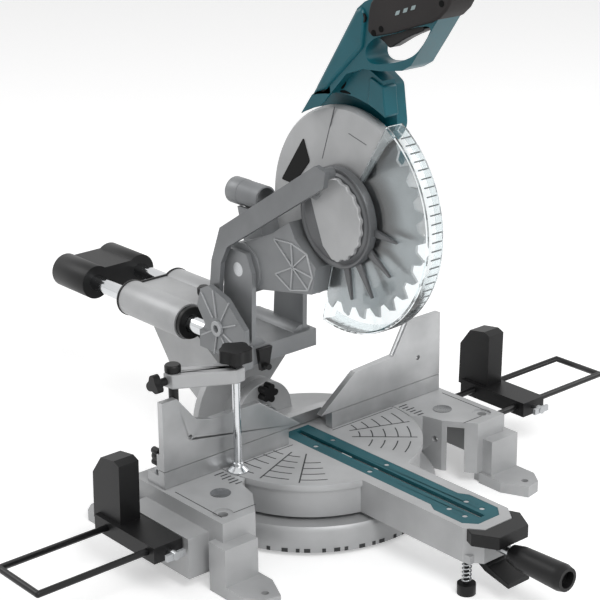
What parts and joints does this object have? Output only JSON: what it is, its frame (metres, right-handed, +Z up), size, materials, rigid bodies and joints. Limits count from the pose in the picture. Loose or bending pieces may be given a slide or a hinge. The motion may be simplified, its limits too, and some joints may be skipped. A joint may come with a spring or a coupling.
{
  "type": "sliding compound mitre saw",
  "caption": "Bench-top sliding compound mitre saw with turntable, tilting rail support, plunging blade head, fences, work clamp and wire extensions.",
  "frame": {"origin": "on the bench under the turntable's pivot, in line with the fence face and the kerf", "axes": "+X to the operator's right along the fence, +Y away from the operator, +Z up"},
  "size_m": [0.937, 0.91, 0.7],
  "materials": {
    "cast_grey": "satin",
    "cast_dark": "satin",
    "aluminium": "brushed",
    "teal_plastic": "satin",
    "teal_insert": "matte",
    "black_plastic": "matte",
    "grip_rubber": "matte",
    "chrome_steel": "polished",
    "zinc_steel": "satin",
    "blade_steel": "brushed",
    "bearing_bronze": "satin",
    "clear_plastic": "clear",
    "motor_brown": "matte",
    "winding_copper": "satin"
  },
  "bodies": {
    "base": {"base_casting": "cast_grey", "table_wing_left": "cast_grey", "table_wing_right": "cast_grey", "lower_fence": "aluminium", "fence_bolts": "zinc_steel", "pivot_bolt": "zinc_steel"},
    "fence_left": {"fence_plate_left": "aluminium"},
    "fence_right": {"fence_plate_right": "aluminium"},
    "knob_fence_left": {"fence_knob_left": "black_plastic"},
    "knob_fence_right": {"fence_knob_right": "black_plastic"},
    "table": {"turntable": "cast_grey", "kerf_insert": "teal_insert", "insert_screws": "zinc_steel", "pointer_bezel": "black_plastic", "bevel_bracket": "cast_grey", "bevel_pivot": "zinc_steel", "foot_spring": "zinc_steel"},
    "mitre_lock": {"mitre_lock_grip": "black_plastic", "mitre_lock_rod": "zinc_steel"},
    "detent": {"detent_lever": "black_plastic"},
    "foot": {"leveling_foot": "grip_rubber"},
    "knob_bevel": {"bevel_lock_knob": "black_plastic"},
    "support": {"rail_support": "cast_grey", "rear_seal": "grip_rubber", "front_seal": "black_plastic", "rail_bushings": "bearing_bronze"},
    "knob_slide": {"slide_lock_knob": "black_plastic"},
    "carriage": {"slide_rails": "chrome_steel", "rail_end_cap": "black_plastic", "carriage_bracket": "cast_grey", "hinge_pin": "zinc_steel"},
    "trench_stop": {"depth_stop": "black_plastic"},
    "head": {"head_arm": "cast_dark", "upper_guard": "cast_grey", "hub_cover": "cast_grey", "gear_case": "cast_grey", "motor_housing": "teal_plastic", "motor_end_cap": "motor_brown", "motor_stator": "winding_copper", "handle_shell": "teal_plastic", "handle_grip": "grip_rubber", "dust_port": "cast_grey", "return_spring": "zinc_steel"},
    "visor": {"lower_guard": "clear_plastic"},
    "link": {"guard_link": "cast_dark"},
    "blade": {"saw_blade": "blade_steel", "blade_flanges": "zinc_steel", "arbor": "zinc_steel", "drive_gear": "zinc_steel"},
    "rotor": {"motor_armature": "winding_copper"},
    "switch": {"trigger": "black_plastic"},
    "lock_off": {"lock_off_button": "black_plastic"},
    "arbor_lock": {"spindle_lock": "zinc_steel"},
    "wire_left": {"extension_wire_left": "black_plastic"},
    "wire_right": {"extension_wire_right": "black_plastic"},
    "stop_left": {"end_stop_left": "black_plastic"},
    "stop_right": {"end_stop_right": "black_plastic"},
    "screw_left": {"stop_screw_left": "zinc_steel"},
    "screw_right": {"stop_screw_right": "zinc_steel"},
    "clamp": {"clamp_post": "chrome_steel", "clamp_arm": "cast_grey"},
    "clamp_spindle": {"clamp_screw": "black_plastic"}
  },
  "joints": [
    {"name": "mitre_turn", "type": "hinge", "parent": "base", "child": "table", "pos_m": [0, 0, 0], "axis": [0, 0, -1], "range_deg": [-45, 45]},
    {"name": "mitre_lock_turn", "type": "hinge", "parent": "table", "child": "mitre_lock", "pos_m": [0, -0.322, 0.057], "axis": [0, 1, 0], "range_deg": [0, 180]},
    {"name": "detent_release", "type": "hinge", "parent": "table", "child": "detent", "pos_m": [0, -0.31, 0.042], "axis": [-1, 0, 0], "range_deg": [0, 8], "stiffness_Nm_per_rad": 1, "springref_deg": -11.46},
    {"name": "leveling_screw", "type": "slide", "parent": "table", "child": "foot", "axis": [0, 0, 1], "range_m": [0, 0.012], "deforming": ["foot_spring"]},
    {"name": "bevel_tilt", "type": "hinge", "parent": "table", "child": "support", "pos_m": [0, 0.106, 0.086], "axis": [0, -1, 0], "range_deg": [-45, 0]},
    {"name": "bevel_lock_turn", "type": "hinge", "parent": "table", "child": "knob_bevel", "pos_m": [0, 0.084, 0.12], "axis": [0, 1, 0], "range_deg": [0, 120]},
    {"name": "rail_slide", "type": "slide", "parent": "support", "child": "carriage", "axis": [0, -1, 0], "range_m": [-0.035, 0.08]},
    {"name": "slide_lock_turn", "type": "hinge", "parent": "support", "child": "knob_slide", "pos_m": [0, 0.212, 0.21], "axis": [0, 0, 1], "range_deg": [0, 180]},
    {"name": "trench_stop_swing", "type": "hinge", "parent": "carriage", "child": "trench_stop", "pos_m": [-0.034, 0.048, 0.197], "axis": [0, -1, 0], "range_deg": [0, 35]},
    {"name": "head_plunge", "type": "hinge", "parent": "carriage", "child": "head", "pos_m": [0, 0.082, 0.298], "axis": [1, 0, 0], "range_deg": [0, 63], "stiffness_Nm_per_rad": 10, "springref_deg": -137.51},
    {"name": "guard_swing", "type": "hinge", "parent": "head", "child": "visor", "pos_m": [0, -0.073, 0.395], "axis": [1, 0, 0], "range_deg": [-117, 0]},
    {"name": "guard_link_swing", "type": "hinge", "parent": "carriage", "child": "link", "pos_m": [-0.0535, 0.118, 0.254], "axis": [1, 0, 0], "range_deg": [0, 57]},
    {"name": "blade_spin", "type": "hinge", "parent": "head", "child": "blade", "pos_m": [0, -0.073, 0.395], "axis": [1, 0, 0], "continuous": true},
    {"name": "armature_spin", "type": "hinge", "parent": "head", "child": "rotor", "pos_m": [0, -0.043, 0.495], "axis": [1, 0, 0], "continuous": true},
    {"name": "trigger_pull", "type": "hinge", "parent": "head", "child": "switch", "pos_m": [0, -0.121, 0.617], "axis": [-1, 0, 0], "range_deg": [0, 6], "stiffness_Nm_per_rad": 0.5, "springref_deg": -17.19},
    {"name": "lock_off_press", "type": "slide", "parent": "head", "child": "lock_off", "axis": [1, 0, 0], "range_m": [0, 0.004], "stiffness_N_per_m": 400, "springref_m": -0.004},
    {"name": "arbor_lock_press", "type": "slide", "parent": "head", "child": "arbor_lock", "axis": [-1, 0, 0], "range_m": [0, 0.003], "stiffness_N_per_m": 500, "springref_m": -0.004},
    {"name": "fence_slide_left", "type": "slide", "parent": "base", "child": "fence_left", "axis": [-1, 0, 0], "range_m": [0, 0.035]},
    {"name": "fence_lock_turn_left", "type": "hinge", "parent": "fence_left", "child": "knob_fence_left", "pos_m": [-0.219, 0.02, 0.121], "axis": [0, 1, 0], "range_deg": [0, 120]},
    {"name": "wire_slide_left", "type": "slide", "parent": "base", "child": "wire_left", "axis": [-1, 0, 0], "range_m": [0, 0.03]},
    {"name": "fence_slide_right", "type": "slide", "parent": "base", "child": "fence_right", "axis": [1, 0, 0], "range_m": [0, 0.035]},
    {"name": "fence_lock_turn_right", "type": "hinge", "parent": "fence_right", "child": "knob_fence_right", "pos_m": [0.219, 0.02, 0.121], "axis": [0, 1, 0], "range_deg": [0, 120]},
    {"name": "wire_slide_right", "type": "slide", "parent": "base", "child": "wire_right", "axis": [1, 0, 0], "range_m": [0, 0.03]},
    {"name": "stop_slide_left", "type": "slide", "parent": "wire_left", "child": "stop_left", "axis": [-1, 0, 0], "range_m": [0, 0.13]},
    {"name": "stop_slide_right", "type": "slide", "parent": "wire_right", "child": "stop_right", "axis": [1, 0, 0], "range_m": [-0.04, 0.12]},
    {"name": "stop_lock_left", "type": "hinge", "parent": "stop_left", "child": "screw_left", "pos_m": [-0.284, -0.08, 0.057], "axis": [0, 1, 0], "range_deg": [0, 90]},
    {"name": "stop_lock_right", "type": "hinge", "parent": "stop_right", "child": "screw_right", "pos_m": [0.328, -0.08, 0.057], "axis": [0, 1, 0], "range_deg": [0, 90]},
    {"name": "clamp_swing", "type": "hinge", "parent": "base", "child": "clamp", "pos_m": [-0.195, 0.021, 0.2], "axis": [0, 0, 1], "range_deg": [-60, 0]},
    {"name": "clamp_press", "type": "slide", "parent": "clamp", "child": "clamp_spindle", "axis": [0, 0, 1], "range_m": [0, 0.03]}
  ],
  "couplings": [
    {"joint": "guard_swing", "follows": "head_plunge", "ratio": -1.85},
    {"joint": "guard_link_swing", "follows": "head_plunge", "ratio": 0.9},
    {"joint": "armature_spin", "follows": "blade_spin", "ratio": 4}
  ]
}
